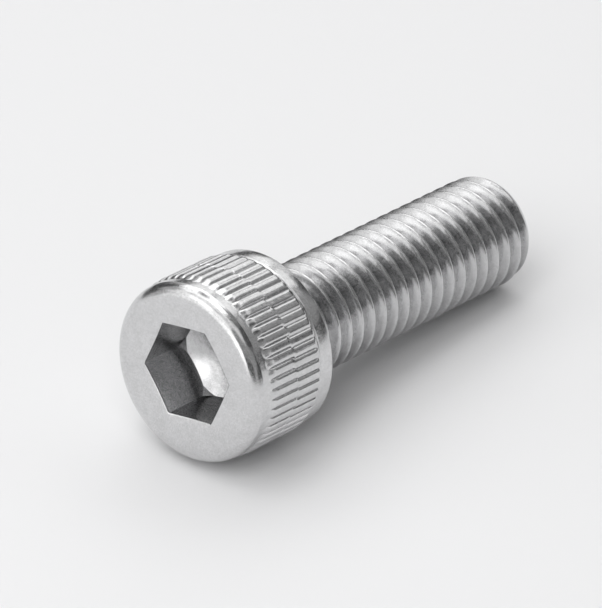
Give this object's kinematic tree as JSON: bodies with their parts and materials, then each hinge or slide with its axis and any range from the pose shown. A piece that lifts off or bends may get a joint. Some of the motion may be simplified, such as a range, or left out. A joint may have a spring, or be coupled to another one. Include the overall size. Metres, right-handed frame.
{
  "type": "hex socket cap screw",
  "caption": "Metric socket head cap screw, knurled cylindrical head with a hexagon socket, threaded to the head, standing on its head.",
  "frame": {"origin": "centre of the bearing face under the head, on the screw's axis", "axes": "+Z along the screw's axis towards the tip, up when the screw stands on its head's face; +X through a corner of the hexagon socket"},
  "size_m": [0.0162, 0.0162, 0.0402],
  "materials": {
    "steel": "bright satin stainless steel, cold formed and rolled"
  },
  "bodies": {
    "root": {"cap_screw": "steel"}
  },
  "joints": []
}
